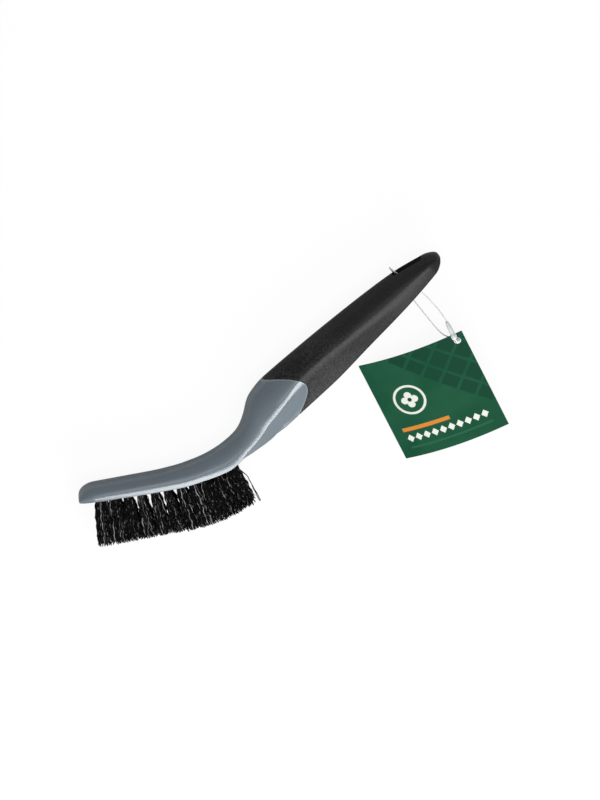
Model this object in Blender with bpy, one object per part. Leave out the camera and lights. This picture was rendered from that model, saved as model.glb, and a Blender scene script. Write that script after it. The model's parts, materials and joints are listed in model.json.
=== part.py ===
"""A crevice brush with a soft grip, lying on its side, with a card tag on a nylon loop.

Units are metres. X runs along the grip towards its hanging end, Y towards the brush's back, and Z
up through its side. The brush is drawn about its centre line, a line in the middle plane that
starts at the nose. All of it hangs from one empty, which puts the origin under the middle of it.
"""

import math

import bmesh
import bpy
from mathutils import Matrix, Vector

# Clearances
GAP = 0.0003              # between pieces that touch
TUFT_CLEARANCE = 0.00035  # round a tuft in its hole

# Centre line: the straight head, the bend up to the neck, the bend back to the grip, the grip
HEAD_STRAIGHT = 0.0497
NECK_BEND_RADIUS = 0.0607
NECK_TURN = math.radians(49)
SHOULDER_BEND_RADIUS = 0.0358
SHOULDER_TURN = math.radians(16)
GRIP_LENGTH = 0.1182

# Nose of the head and rounded end of the grip
NOSE_HEIGHT = 0.0024      # upright front of the nose
NOSE_ROUND = 0.0090       # length of the rounding behind it
NOSE_WIDTH = 0.0080
END_ROUND = 0.0070        # length of the rounded end
END_POWER = 2.4           # 2 is an ellipse, more is a blunter end
CREST_POWER = 1.8         # the same for the back, less is a softer ridge

# Widest parts of the head and of the grip
HEAD_HALF_WIDTH = 0.0072
GRIP_HALF_WIDTH = 0.0110
GRIP_CREST = 0.0133
GRIP_KEEL = 0.0130

# Soft sleeve over the core. The wall's inner face lifts the crease and narrows the flat by these
# parts of the wall.
SLEEVE_WALL = 0.0016
CREASE_LIFT = 0.35
FLAT_CUT = 0.30
SLOT_LINING = 0.0009
TONGUE_REACH = 0.0252     # from the end of the shoulder bend to the tip of the U-shaped seam
TONGUE_LENGTH = 0.0180    # of the seam's U
SEAM_SPREAD = 0.0136      # half width of the U at that length

# Hanging slot, from back to underside near the end of the grip
SLOT_LENGTH = 0.0168
SLOT_WIDTH = 0.0060
SLOT_CORNER = 0.0022
SLOT_TO_END = 0.0068      # wall between the slot and the end of the grip

# Bristle field
TUFT_COLUMNS = 11
TUFT_PITCH = 0.00675
FIRST_TUFT = 0.0108       # first tuft behind the front of the nose
ROW_SPACING = 0.0056
HOLE_DIAMETER = 0.0047
HOLE_DEPTH = 0.0050
HOLE_SIDES = 12
TUFT_DEPTH = 0.0038       # slice of folded bristles inside the hole
TUFT_TURN = math.radians(16)         # how far the last tuft leans past the first
FIRST_TUFT_LEAN = math.radians(-3.4)  # from the normal of the face, towards the nose
FACE_DROP = 0.0045        # usual depth of the bristle face below the centre line
TIP_DROP = 0.0279         # trimmed ends below the centre line
HEEL_TIP_DROP = 0.0278    # the same at the last tuft
TRIM_SPREAD = 0.0006      # unevenness of the trimmed ends
STRANDS = 14
STRAND_RADIUS = 0.00028
STRAND_CRIMP = 0.00032
ROOT_SPREAD = 0.0016      # radius of the strands' roots
TIP_SPREAD_ALONG = 0.0024
TIP_SPREAD_ACROSS = 0.0021

# Anchor of a tuft
ANCHOR_WIDTH = 0.0034
ANCHOR_HEIGHT = 0.0018
ANCHOR_THICKNESS = 0.0004

# Card tag
TAG_SIDE = 0.0570
TAG_THICKNESS = 0.0006
TAG_BOW = 0.0038           # rise of the card's middle over its two side edges
TAG_STRIPS = 12            # flat strips of the bowed card
TAG_HOLE_DIAMETER = 0.0036
TAG_HOLE_INSET = 0.0040    # middle of the hole from two edges of the card
TAG_TILT = (math.radians(3.0), math.radians(-10.3), math.radians(-19.8))

# Nylon loop. Its route starts at the lock's wide end and ends at its narrow end. A point is its
# length from the front end of the slot, then parts of the crest height and half width there.
LOOP_DIAMETER = 0.0006
LOOP_STEP = 0.00165
LOOP_ROUTE = (
    (-0.00032, -4.111, 0.629), (-0.00057, -4.239, 0.596), (-0.00067, -4.328, 0.483),
    (-0.00072, -4.322, 0.315), (-0.00107, -4.261, 0.135), (-0.00197, -4.150, -0.034),
    (-0.00377, -3.950, -0.202), (-0.00517, -3.683, -0.382), (-0.00567, -3.239, -0.584),
    (-0.00552, -2.705, -0.787), (-0.00512, -2.039, -0.966), (-0.00442, -1.239, -1.090),
    (-0.00332, -0.461, -1.135), (-0.00222, 0.206, -1.129), (-0.00132, 0.717, -1.045),
    (-0.00052, 1.050, -0.831), (0.00028, 1.172, -0.562), (0.00088, 1.128, -0.360),
    (0.00138, 0.917, -0.236), (0.00198, 0.428, -0.202), (0.00268, -0.294, -0.197),
    (0.00328, -0.928, -0.191), (0.00378, -1.539, -0.067), (0.00398, -2.172, 0.202),
    (0.00388, -2.617, 0.449), (0.00358, -2.850, 0.562), (0.00333, -2.955, 0.607),
)
ROUTE_IN_TAG = 3          # this point of the route lies in the middle of the tag's hole

# Lock of the loop: a turned body
LOCK_PROFILE = (
    (0.0000, 0.00050), (0.0006, 0.00085), (0.0032, 0.00115), (0.0064, 0.00115),
    (0.0076, 0.00155), (0.0086, 0.00160), (0.0094, 0.00130), (0.0098, 0.00070),
)
LOCK_SIDES = 12

# Fineness of the lofts
CREST_STEPS = 7
FLANK_STEPS = 3
FACET_STEPS = 3
RING_STEP = 0.0052
ROUNDING_RINGS = 6

# Colours: base colour, roughness, metallic
FINISHES = {
    "head_plastic": ((0.118, 0.148, 0.172), 0.25, 0.0),
    "grip_rubber": ((0.018, 0.018, 0.019), 0.62, 0.0),
    "bristle_nylon": ((0.006, 0.006, 0.007), 0.38, 0.0),
    "anchor_wire": ((0.62, 0.60, 0.55), 0.35, 1.0),
    "tag_card": ((0.016, 0.105, 0.055), 0.45, 0.0),
    "loop_nylon": ((0.78, 0.80, 0.80), 0.30, 0.0),
}

NECK_START = HEAD_STRAIGHT
NECK_END = NECK_START + NECK_BEND_RADIUS * NECK_TURN
SHOULDER_END = NECK_END + SHOULDER_BEND_RADIUS * SHOULDER_TURN
GRIP_END = SHOULDER_END + GRIP_LENGTH
SEAM_TIP = SHOULDER_END + TONGUE_REACH
FACE_END = FIRST_TUFT + (TUFT_COLUMNS - 1) * TUFT_PITCH
SLOT_FRONT = GRIP_END - SLOT_TO_END - SLOT_LENGTH

# Sections along the centre line: the place, half width, crest above and keel below the line,
# height of the widest line, height and half width of the crease, half width of the flat
# underside, and hollow of the face between crease and flat as a part of that face's height.
# On the head the crease is the edge of the bristle face.
SECTIONS = (
    (0.0, HEAD_HALF_WIDTH, 0.0054, 0.0034, -0.0004, -0.0034, 0.0060, 0.0008, 0.0),
    (0.016, HEAD_HALF_WIDTH, 0.0053, 0.0039, -0.0002, -0.0039, 0.0059, 0.0008, 0.0),
    (HEAD_STRAIGHT - 0.012,
     HEAD_HALF_WIDTH, 0.0053, FACE_DROP, -0.0002, -FACE_DROP, 0.0058, 0.0008, 0.0),
    (HEAD_STRAIGHT + 0.012,
     HEAD_HALF_WIDTH, 0.0067, FACE_DROP, -0.0002, -FACE_DROP, 0.0058, 0.0008, 0.0),
    (FACE_END - 0.0105,
     HEAD_HALF_WIDTH, 0.0067, 0.0048, -0.0004, -0.0048, 0.0059, 0.0008, 0.0),
    (FACE_END, 0.0073, 0.0066, 0.0060, -0.0016, -0.0060, 0.0061, 0.0008, 0.0),
    (FACE_END + 0.012, 0.0076, 0.0064, 0.0085, -0.0014, -0.0047, 0.0066, 0.0012, 0.09),
    (NECK_END, 0.0088, 0.0080, 0.0118, -0.0008, -0.0040, 0.0078, 0.0012, 0.09),
    (SHOULDER_END, 0.0102, 0.0127, 0.0139, -0.0002, -0.0034, 0.0093, 0.0010, 0.08),
    (SHOULDER_END + 0.009,
     GRIP_HALF_WIDTH, 0.0140, 0.0135, 0.0010, -0.0021, 0.0099, 0.0010, 0.04),
    (SEAM_TIP + 0.007,
     GRIP_HALF_WIDTH, GRIP_CREST, GRIP_KEEL, 0.0040, 0.0009, 0.0101, 0.0010, 0.0),
    (GRIP_END - GRIP_LENGTH / 2,
     0.0105, 0.0120, 0.0110, 0.0033, 0.0003, 0.0096, 0.0010, 0.0),
    (SLOT_FRONT, 0.0089, 0.0090, 0.0077, 0.0018, -0.0009, 0.0081, 0.0010, 0.0),
    (GRIP_END - END_ROUND, 0.0079, 0.0059, 0.0055, 0.0014, -0.0006, 0.0071, 0.0010, 0.0),
)
CENTRE_LINE = (
    (HEAD_STRAIGHT, 0.0),
    (NECK_BEND_RADIUS * NECK_TURN, 1.0 / NECK_BEND_RADIUS),
    (SHOULDER_BEND_RADIUS * SHOULDER_TURN, -1.0 / SHOULDER_BEND_RADIUS),
    (GRIP_LENGTH, 0.0),
)


def clear_scene():
    for old in list(bpy.data.objects):
        bpy.data.objects.remove(old, do_unlink=True)


def centre_line(along):
    """The point of the centre line at this length from the nose, and its heading there."""
    x = y = 0.0
    heading = SHOULDER_TURN - NECK_TURN
    left = along
    for length, curvature in CENTRE_LINE:
        step = left if (length, curvature) == CENTRE_LINE[-1] else min(left, length)
        turned = heading + curvature * step
        if curvature:
            x += (math.sin(turned) - math.sin(heading)) / curvature
            y += (math.cos(heading) - math.cos(turned)) / curvature
        else:
            x += math.cos(heading) * step
            y += math.sin(heading) * step
        heading = turned
        left -= step
        if left <= 0.0:
            break
    return Vector((x, y, 0.0)), heading


def section_plane(along):
    """Matrix that puts (along, up, side) of the brush's own section plane in place."""
    point, heading = centre_line(along)
    return Matrix.Translation(point) @ Matrix.Rotation(heading, 4, "Z")


def smooth(rows, place):
    """The row of values at a place, on a smooth curve through the rows that never overshoots."""
    if place <= rows[0][0]:
        return rows[0][1:]
    if place >= rows[-1][0]:
        return rows[-1][1:]
    found = []
    for column in range(1, len(rows[0])):
        slopes = [
            (b[column] - a[column]) / (b[0] - a[0]) for a, b in zip(rows, rows[1:])
        ]
        tangents = [0.0]
        for (a, b, c), before, after in zip(zip(rows, rows[1:], rows[2:]), slopes, slopes[1:]):
            near, far = b[0] - a[0], c[0] - b[0]
            level = before * after <= 0.0
            tangents.append(0.0 if level else 3 * (near + far) / (
                (2 * far + near) / before + (far + 2 * near) / after))
        tangents.append(0.0)
        for i, (a, b) in enumerate(zip(rows, rows[1:])):
            if a[0] <= place <= b[0]:
                span = b[0] - a[0]
                t = (place - a[0]) / span
                found.append(
                    a[column] * (1 + 2 * t) * (1 - t) ** 2 + b[column] * t * t * (3 - 2 * t)
                    + span * t * (1 - t) * ((1 - t) * tangents[i] - t * tangents[i + 1]))
                break
    return found


def nose_sizes(along, sizes):
    """The same sizes with the nose's rounding."""
    if along >= NOSE_ROUND:
        return sizes
    half_width, crest, keel, widest, crease, crease_half, flat, hollow = sizes
    full = math.sqrt(1.0 - (1.0 - along / NOSE_ROUND) ** 2)
    top = NOSE_HEIGHT - keel
    middle = (crease + top) / 2
    narrowing = (NOSE_WIDTH / 2 + (half_width - NOSE_WIDTH / 2) * full) / half_width
    return (half_width * narrowing, top + (crest - top) * full, keel,
            middle + (widest - middle) * full, crease, crease_half * narrowing,
            flat * narrowing, hollow)


def half_section(sizes):
    """Height and half width of the outline's points from the crest down to the flat."""
    half_width, crest, keel, widest, crease, crease_half, flat, hollow = sizes
    points = [(crest, 0.0)]
    for i in range(1, CREST_STEPS):
        angle = math.pi / 2 * (1 - i / CREST_STEPS)
        points.append((widest + (crest - widest) * math.sin(angle) ** (2 / CREST_POWER),
                       half_width * math.cos(angle) ** (2 / CREST_POWER)))
    for i in range(FLANK_STEPS):
        t = i / FLANK_STEPS
        points.append((widest - (widest - crease) * t,
                       half_width - (half_width - crease_half) * t * t))
    height = crease + keel
    for i in range(FACET_STEPS + 1):
        t = i / FACET_STEPS
        points.append((crease - height * t, crease_half + (flat - crease_half) * t
                       - hollow * height * 4 * t * (1 - t)))
    return points


def section(along, inset=0.0):
    """Points of the outline across the brush at a place, drawn in by the inset."""
    sizes = nose_sizes(along, smooth(SECTIONS, along))
    half_width, crest, keel, widest, crease, crease_half, flat, hollow = sizes
    past = (along - (GRIP_END - inset - END_ROUND)) / END_ROUND
    share = (1.0 - past ** END_POWER) ** (1.0 / END_POWER) if past > 0.0 else 1.0
    drawn_in = (half_width - inset, crest - inset, keel - inset, widest,
                crease + CREASE_LIFT * inset, crease_half - inset, flat - FLAT_CUT * inset)
    half = half_section([size * share for size in drawn_in] + [hollow])
    plane = section_plane(along)
    ring = half + [(up, -side) for up, side in half[:0:-1]]
    return [plane @ Vector((0.0, up, side)) for up, side in ring]


def ring_places(start, end, round_start=False, round_end=False):
    """Places of a loft's rings, closer together on a rounded nose or end."""
    first, last = start, end
    places = []
    if round_start:
        first = start + NOSE_ROUND
        places += [start + NOSE_ROUND * (1 - math.cos(math.pi / 2 * i / ROUNDING_RINGS))
                   for i in range(ROUNDING_RINGS)]
    if round_end:
        last = end - END_ROUND
    count = max(2, round((last - first) / RING_STEP))
    places += [first + (last - first) * i / count for i in range(count + 1)]
    if round_end:
        places += [last + END_ROUND * math.sin(math.pi / 2 * i / (ROUNDING_RINGS + 0.5))
                   for i in range(1, ROUNDING_RINGS + 1)]
    return places


def mesh_object(name, shape, frame, hidden=False):
    """An object of this bmesh, hung from the frame. A hidden one is a cutter."""
    bmesh.ops.recalc_face_normals(shape, faces=shape.faces)
    data = bpy.data.meshes.new(name)
    shape.to_mesh(data)
    shape.free()
    made = bpy.data.objects.new(name, data)
    bpy.context.collection.objects.link(made)
    made.parent = frame
    if hidden:
        made.hide_render = True
        made.display_type = "WIRE"
    return made


def skin(shape, rings):
    """A closed skin over rings of points, with flat ends."""
    rows = [[shape.verts.new(point) for point in ring] for ring in rings]
    for first, second in zip(rows, rows[1:]):
        for i in range(len(first)):
            j = (i + 1) % len(first)
            shape.faces.new((first[i], first[j], second[j], second[i]))
    shape.faces.new(rows[0][::-1])
    shape.faces.new(rows[-1])


def loft(name, frame, places, inset=0.0, hidden=False):
    shape = bmesh.new()
    skin(shape, [section(place, inset) for place in places])
    return mesh_object(name, shape, frame, hidden)


def boolean(target, operation, other):
    modifier = target.modifiers.new(other.name, "BOOLEAN")
    modifier.operation = operation
    modifier.solver = "EXACT"
    modifier.object = other


def seam_cutter(name, frame, growth):
    """Everything in front of the U-shaped seam, grown past it by the growth."""
    plane = section_plane(SEAM_TIP)
    bow = TONGUE_LENGTH / SEAM_SPREAD ** 2
    widest = SEAM_SPREAD * 1.2
    steps = 16
    outline = []
    for i in range(steps + 1):
        up = -widest + 2 * widest * i / steps
        slope = 2 * bow * up
        normal = Vector((1.0, slope)).normalized()
        outline.append((-bow * up * up + growth * normal.x, up + growth * normal.y))
    far_up, far_back = 2 * GRIP_LENGTH, 4 * GRIP_LENGTH
    shoulder = -bow * widest * widest
    outline += [(shoulder, far_up), (-far_back, far_up), (-far_back, -far_up), (shoulder, -far_up)]
    shape = bmesh.new()
    rings = [[plane @ Vector((along, up, side)) for along, up in outline]
             for side in (-2 * GRIP_HALF_WIDTH, 2 * GRIP_HALF_WIDTH)]
    skin(shape, rings)
    return mesh_object(name, shape, frame, hidden=True)


def rounded_rectangle(half_length, half_width, corner):
    """Corners of a rectangle with rounded corners, anticlockwise."""
    corner_steps = 4
    outline = []
    for quarter, (x_side, y_side) in enumerate(((1, 1), (-1, 1), (-1, -1), (1, -1))):
        for i in range(corner_steps + 1):
            angle = math.pi / 2 * (quarter + i / corner_steps)
            outline.append((x_side * (half_length - corner) + corner * math.cos(angle),
                            y_side * (half_width - corner) + corner * math.sin(angle)))
    return outline


def slot_middle():
    return SLOT_FRONT + SLOT_LENGTH / 2


def slot_cutter(name, frame, growth):
    """The hanging slot's prism, grown on every side by the growth."""
    outline = rounded_rectangle(SLOT_LENGTH / 2 + growth, SLOT_WIDTH / 2 + growth,
                                SLOT_CORNER + growth)
    plane = section_plane(slot_middle())
    shape = bmesh.new()
    skin(shape, [[plane @ Vector((along, up, side)) for along, side in outline]
                 for up in (-2 * GRIP_KEEL, 2 * GRIP_CREST)])
    return mesh_object(name, shape, frame, hidden=True)


def face_place(distance):
    """Centre-line length whose section meets the bristle face this far from the nose."""
    if distance <= HEAD_STRAIGHT:
        return distance
    return HEAD_STRAIGHT + (distance - HEAD_STRAIGHT) / (1.0 + FACE_DROP / NECK_BEND_RADIUS)


def tuft_frames():
    """Name, row, length and place of each tuft: X along the face, Y across it and Z out of it."""
    frames = []
    bend = (HEAD_STRAIGHT - FIRST_TUFT) / TUFT_PITCH
    last = TUFT_COLUMNS - 1
    for column in range(TUFT_COLUMNS):
        place = face_place(FIRST_TUFT + column * TUFT_PITCH)
        plane = section_plane(place)
        face_drop = smooth(SECTIONS, place)[2]
        lean = FIRST_TUFT_LEAN + TUFT_TURN * column / last
        lean -= centre_line(place)[1] - centre_line(0.0)[1]
        heel = max(0.0, (column - bend) / (last - bend))
        length = TIP_DROP + (HEEL_TIP_DROP - TIP_DROP) * heel - face_drop
        for side in (1, -1):
            turned = plane @ Matrix.Translation((0.0, -face_drop, side * ROW_SPACING / 2))
            out = turned @ Matrix.Rotation(lean, 4, "Z") @ Matrix.Rotation(math.pi / 2, 4, "X")
            frames.append((f"{len(frames) + 1:02d}", side, length, out))
    return frames


def ring_of(radius, sides, height):
    return [Vector((radius * math.cos(2 * math.pi * i / sides),
                    radius * math.sin(2 * math.pi * i / sides), height)) for i in range(sides)]


def hole_cutter(frame, frames):
    shape = bmesh.new()
    for _, _, _, place in frames:
        rings = [[place @ point for point in ring_of(HOLE_DIAMETER / 2, HOLE_SIDES, height)]
                 for height in (-HOLE_DEPTH, HOLE_DEPTH)]
        skin(shape, rings)
    return mesh_object("tuft_holes", shape, frame, hidden=True)


def tuft_shape(side, length, turn):
    """The slice of folded bristles with its groove for the anchor, and the strands on it."""
    shape = bmesh.new()
    radius = HOLE_DIAMETER / 2 - TUFT_CLEARANCE
    groove = ANCHOR_THICKNESS / 2 + GAP
    groove_top = -HOLE_DEPTH + GAP + ANCHOR_HEIGHT + GAP
    reach = math.acos(groove / radius)
    arc_steps = 5
    halves = []
    for middle in (0.0, math.pi):
        angles = [middle - reach + 2 * reach * i / arc_steps for i in range(arc_steps + 1)]
        halves.append([(radius * math.cos(a), radius * math.sin(a)) for a in angles])
    levels = [[[shape.verts.new((x, y, height)) for x, y in half] for half in halves]
              for height in (-TUFT_DEPTH, groove_top, 0.0)]
    for half in (0, 1):
        low, middle = levels[0][half], levels[1][half]
        shape.faces.new(low[::-1])
        for i in range(len(low)):
            j = (i + 1) % len(low)
            shape.faces.new((low[i], low[j], middle[j], middle[i]))
    roof = levels[1]
    shape.faces.new((roof[0][0], roof[0][-1], roof[1][0], roof[1][-1]))
    middle, top = levels[1][0] + levels[1][1], levels[2][0] + levels[2][1]
    for i in range(len(middle)):
        j = (i + 1) % len(middle)
        shape.faces.new((middle[i], middle[j], top[j], top[i]))
    rim = [shape.edges.get((top[i], top[(i + 1) % len(top)])) for i in range(len(top))]
    for strand in range(STRANDS):
        rim += add_strand(shape, strand, side, length, turn)
    bmesh.ops.triangle_fill(shape, use_beauty=True, edges=rim)
    return shape


def add_strand(shape, strand, side, length, turn):
    """One crimped strand of three sides. It returns the edges of its root."""
    angle = strand * math.pi * (3 - math.sqrt(5)) + turn
    spread = math.sqrt((strand + 0.5) / STRANDS)
    outward = Vector((math.cos(angle), math.sin(angle)))
    tip = Vector((TIP_SPREAD_ALONG * outward.x, TIP_SPREAD_ACROSS * outward.y)) * spread
    root = outward * ROOT_SPREAD * spread
    length += TRIM_SPREAD * math.sin(5.1 * strand + 2 * turn)
    crimps = ((0, 0), (1, 0.6), (-1, -0.6), (0.6, 1))
    rows = []
    for level, (along, across) in enumerate(crimps):
        rise = level / (len(crimps) - 1)
        centre = root.lerp(tip, rise) + STRAND_CRIMP * Vector((along, side * across))
        rows.append([
            shape.verts.new((centre.x + point.x, centre.y + point.y, length * rise))
            for point in ring_of(STRAND_RADIUS, 3, 0.0)])
    for first, second in zip(rows, rows[1:]):
        for i in range(3):
            j = (i + 1) % 3
            shape.faces.new((first[i], first[j], second[j], second[i]))
    shape.faces.new(rows[-1])
    return [shape.edges.get((rows[0][i], rows[0][(i + 1) % 3])) for i in range(3)]


def box_shape(sizes, centre):
    shape = bmesh.new()
    bmesh.ops.create_cube(shape, size=1.0)
    bmesh.ops.scale(shape, vec=sizes, verts=shape.verts)
    bmesh.ops.translate(shape, vec=centre, verts=shape.verts)
    return shape


def place_at(made, matrix):
    made.location = matrix.to_translation()
    made.rotation_euler = matrix.to_euler()


def finish(made, finish_name, smooth_angle=35.0):
    """The object's own material and shading."""
    colour, roughness, metallic = FINISHES[finish_name]
    material = bpy.data.materials.new(made.name)
    material.use_nodes = True
    shader = material.node_tree.nodes["Principled BSDF"]
    shader.inputs["Base Color"].default_value = (*colour, 1.0)
    shader.inputs["Roughness"].default_value = roughness
    shader.inputs["Metallic"].default_value = metallic
    made.data.materials.append(material)
    if made.type == "MESH":
        made.data.shade_smooth()
        made.data.set_sharp_from_angle(angle=math.radians(smooth_angle))
    return made


def brush_body(frame, frames):
    """Head, neck and tongue of the outer form, joined to the core inside the grip."""
    outer = loft("brush_body", frame, ring_places(0.0, SEAM_TIP + 0.004, round_start=True))
    inset = SLEEVE_WALL + GAP
    core = loft("core", frame, ring_places(SHOULDER_END - 0.006, GRIP_END - inset,
                                           round_end=True), inset, hidden=True)
    boolean(core, "DIFFERENCE", slot_cutter("core_eye", frame, SLOT_LINING + GAP))
    boolean(outer, "INTERSECT", seam_cutter("seam_front", frame, 0.0))
    boolean(outer, "UNION", core)
    boolean(outer, "DIFFERENCE", hole_cutter(frame, frames))
    return finish(outer, "head_plastic")


def soft_grip(frame):
    """The sleeve behind the seam, hollow for the core and lined round the slot."""
    sleeve = loft("soft_grip", frame, ring_places(SHOULDER_END - 0.008, GRIP_END, round_end=True))
    hollow = loft("hollow", frame, ring_places(SHOULDER_END - 0.014, GRIP_END - SLEEVE_WALL,
                                               round_end=True), SLEEVE_WALL, hidden=True)
    boolean(hollow, "DIFFERENCE", slot_cutter("slot_lining", frame, SLOT_LINING))
    boolean(sleeve, "DIFFERENCE", hollow)
    boolean(sleeve, "DIFFERENCE", seam_cutter("seam_back", frame, GAP))
    boolean(sleeve, "DIFFERENCE", slot_cutter("slot", frame, 0.0))
    return finish(sleeve, "grip_rubber")


def tufts_and_anchors(frame, frames):
    for number, side, length, place in frames:
        shape = tuft_shape(side, length, 0.7 * int(number))
        made = mesh_object(f"tuft_{number}", shape, frame)
        place_at(made, place)
        finish(made, "bristle_nylon")
        centre = (0.0, 0.0, -HOLE_DEPTH + GAP + ANCHOR_HEIGHT / 2)
        sizes = (ANCHOR_THICKNESS, ANCHOR_WIDTH, ANCHOR_HEIGHT)
        anchor = mesh_object(f"anchor_{number}", box_shape(sizes, centre), frame)
        place_at(anchor, place)
        finish(anchor, "anchor_wire")


def loop_route():
    """The route's points in the frame's own coordinates."""
    half_width, crest = smooth(SECTIONS, SLOT_FRONT)[:2]
    plane = section_plane(SLOT_FRONT)
    return [plane @ Vector((along, crest * up, half_width * side)) for along, up, side in LOOP_ROUTE]


def evenly_spaced(route, step):
    """Points at even steps on a smooth curve through the route, and the curve's length."""
    parts = 24
    ends = [2 * route[0] - route[1]] + route + [2 * route[-1] - route[-2]]
    fine = []
    for a, b, c, d in zip(ends, ends[1:], ends[2:], ends[3:]):
        for i in range(parts):
            t = i / parts
            fine.append(0.5 * (2 * b + (c - a) * t + (2 * a - 5 * b + 4 * c - d) * t * t
                               + (3 * b - a - 3 * c + d) * t ** 3))
    fine.append(route[-1])
    lengths = [0.0]
    for a, b in zip(fine, fine[1:]):
        lengths.append(lengths[-1] + (b - a).length)
    count = round(lengths[-1] / step)
    points = []
    i = 0
    for number in range(count + 1):
        wanted = lengths[-1] * number / count
        while i < len(fine) - 2 and lengths[i + 1] < wanted:
            i += 1
        share = (wanted - lengths[i]) / (lengths[i + 1] - lengths[i])
        points.append(fine[i].lerp(fine[i + 1], share))
    return points, lengths[-1]


def tag_loop(frame, route):
    points, length = evenly_spaced(route, LOOP_STEP)
    print(f"tag_loop is {1000 * length:.1f} mm long, of {len(points)} points")
    data = bpy.data.curves.new("tag_loop", "CURVE")
    data.dimensions = "3D"
    data.bevel_depth = LOOP_DIAMETER / 2
    data.bevel_resolution = 2
    data.render_resolution_u = 0
    data.use_fill_caps = True
    spline = data.splines.new("POLY")
    spline.points.add(len(points) - 1)
    for slot, point in zip(spline.points, points):
        slot.co = (*point, 1.0)
    made = bpy.data.objects.new("tag_loop", data)
    bpy.context.collection.objects.link(made)
    made.parent = frame
    return finish(made, "loop_nylon")


def loop_lock(frame, route):
    """The lock's turned body, between the two ends of the loop."""
    wide_end, narrow_end = route[0], route[-1]
    axis = (wide_end - narrow_end).normalized()
    room = (wide_end - narrow_end).length - 2 * GAP
    stretch = room / LOCK_PROFILE[-1][0]
    shape = bmesh.new()
    skin(shape, [ring_of(radius, LOCK_SIDES, along * stretch) for along, radius in LOCK_PROFILE])
    made = mesh_object("loop_lock", shape, frame)
    turn = axis.to_track_quat("Z", "Y").to_matrix().to_4x4()
    place_at(made, Matrix.Translation(narrow_end + axis * GAP) @ turn)
    return finish(made, "loop_nylon")


def hang_tag(frame, route):
    """The square card, bowed across its width, with a round hole. The origin is in the hole."""
    half = TAG_SIDE / 2
    hole = half - TAG_HOLE_INSET
    bend = TAG_BOW / half ** 2
    top, bottom = [], []
    for i in range(TAG_STRIPS + 1):
        x = -half + TAG_SIDE * i / TAG_STRIPS
        middle = Vector((x - hole, 0.0, bend * (hole * hole - x * x)))
        across = Vector((2 * bend * x, 0.0, 1.0)).normalized() * TAG_THICKNESS / 2
        top.append(middle + across)
        bottom.append(middle - across)
    outline = top + bottom[::-1]
    shape = bmesh.new()
    skin(shape, [[point + Vector((0.0, y - hole, 0.0)) for point in outline]
                 for y in (-half, half)])
    card = mesh_object("hang_tag", shape, frame)
    drill = bmesh.new()
    skin(drill, [ring_of(TAG_HOLE_DIAMETER / 2, 16, height)
                 for height in (-5 * TAG_THICKNESS, 5 * TAG_THICKNESS)])
    cutter = mesh_object("tag_hole", drill, frame, hidden=True)
    for piece in (card, cutter):
        piece.location = route[ROUTE_IN_TAG]
        piece.rotation_euler = TAG_TILT
    boolean(card, "DIFFERENCE", cutter)
    return finish(card, "tag_card")


def centre_frame(frame, pieces):
    """Moves the frame so that its origin comes under the middle of these pieces."""
    graph = bpy.context.evaluated_depsgraph_get()
    corners = []
    for piece in pieces:
        seen = piece.evaluated_get(graph)
        corners += [seen.matrix_world @ vertex.co for vertex in seen.data.vertices]
    low = Vector(min(corner[axis] for corner in corners) for axis in range(3))
    high = Vector(max(corner[axis] for corner in corners) for axis in range(3))
    frame.location = -Vector(((low.x + high.x) / 2, (low.y + high.y) / 2, low.z))
    bpy.context.view_layer.update()


def print_places(frame, route):
    """Joints, mounts and the opening, in metres in the part's frame."""
    middle = slot_middle()
    half_length, half_width = SLOT_LENGTH / 2, SLOT_WIDTH / 2
    crest = smooth(SECTIONS, SLOT_FRONT)[1]
    plane = frame.matrix_world @ section_plane(middle)
    places = {
        "loop_swing": plane @ Vector((-half_length + LOOP_DIAMETER, crest + LOOP_DIAMETER, 0.0)),
        "tag_swing": frame.matrix_world @ route[ROUTE_IN_TAG],
        "hang_seat": plane @ Vector((half_length, 0.0, 0.0)),
        "hang_flank": plane @ Vector((0.0, 0.0, half_width)),
        "slot low corner": plane @ Vector((-half_length, -crest, -half_width)),
        "slot high corner": plane @ Vector((half_length, crest, half_width)),
    }
    for name, place in places.items():
        print(name, [round(value, 6) for value in place])


def main():
    clear_scene()
    frame = bpy.data.objects.new("brush_frame", None)
    bpy.context.collection.objects.link(frame)
    frames = tuft_frames()
    route = loop_route()
    pieces = [brush_body(frame, frames), soft_grip(frame)]
    tufts_and_anchors(frame, frames)
    tag_loop(frame, route)
    loop_lock(frame, route)
    hang_tag(frame, route)
    bpy.context.view_layer.update()
    pieces += [piece for piece in bpy.data.objects if piece.name.startswith("tuft_")
               and not piece.hide_render]
    centre_frame(frame, pieces)
    print_places(frame, route)


main()
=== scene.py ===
# Crevice brush with a soft grip and a card tag: fine meshes, bristles, finishes and light.
# Everything is in metres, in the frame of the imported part: X along the grip, Y towards the back.

import json
import math

import bmesh
import bpy
from mathutils import Matrix, Vector


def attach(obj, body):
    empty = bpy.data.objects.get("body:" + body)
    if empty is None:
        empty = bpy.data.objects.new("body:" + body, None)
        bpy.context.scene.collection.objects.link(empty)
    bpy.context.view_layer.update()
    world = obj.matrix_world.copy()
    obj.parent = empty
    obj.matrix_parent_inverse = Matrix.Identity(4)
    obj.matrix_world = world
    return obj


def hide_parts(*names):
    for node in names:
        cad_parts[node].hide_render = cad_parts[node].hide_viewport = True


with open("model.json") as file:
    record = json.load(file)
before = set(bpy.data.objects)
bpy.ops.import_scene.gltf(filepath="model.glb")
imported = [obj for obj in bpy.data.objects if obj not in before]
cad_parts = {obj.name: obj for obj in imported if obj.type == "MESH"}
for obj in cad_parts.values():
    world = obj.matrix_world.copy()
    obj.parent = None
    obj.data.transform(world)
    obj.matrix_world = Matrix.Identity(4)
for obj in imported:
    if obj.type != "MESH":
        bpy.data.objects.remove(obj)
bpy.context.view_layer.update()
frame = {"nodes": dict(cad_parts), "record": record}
gap = 0.0003  # between pieces that touch


# node trees written as arithmetic

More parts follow.
